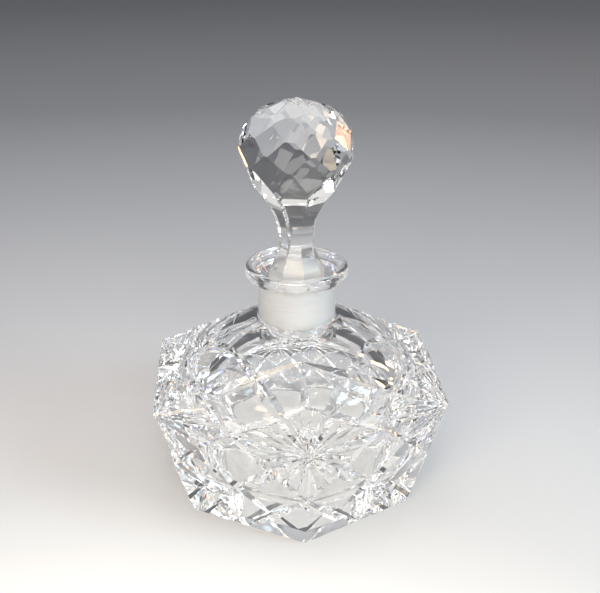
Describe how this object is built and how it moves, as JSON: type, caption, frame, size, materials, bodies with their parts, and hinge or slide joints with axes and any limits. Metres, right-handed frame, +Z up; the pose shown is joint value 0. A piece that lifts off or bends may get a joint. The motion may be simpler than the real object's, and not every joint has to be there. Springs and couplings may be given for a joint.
{
  "type": "perfume bottle",
  "caption": "Cut crystal perfume bottle: hollow hexagonal glass bottle with mitre-cut faces, a short neck and a flanged lip, closed by a faceted ball stopper in a ground neck.",
  "frame": {"origin": "centre of the flat base, on the surface the bottle stands on", "axes": "+Z up through the neck and the stopper; two corners of the hexagon lie on the Y axis and two flat sides face +X and -X"},
  "size_m": [0.0832, 0.0956, 0.1183],
  "materials": {
    "crystal_bottle": "polished clear cut crystal, ground white inside the neck",
    "crystal_stopper": "polished clear cut crystal, ground white on the plug"
  },
  "bodies": {
    "bottle": {"bottle": "crystal_bottle"},
    "stopper": {"stopper": "crystal_stopper"}
  },
  "joints": [
    {"name": "stopper_lift", "type": "slide", "parent": "bottle", "child": "stopper", "axis": [0, 0, 1], "range_m": [0, 0.03]}
  ]
}
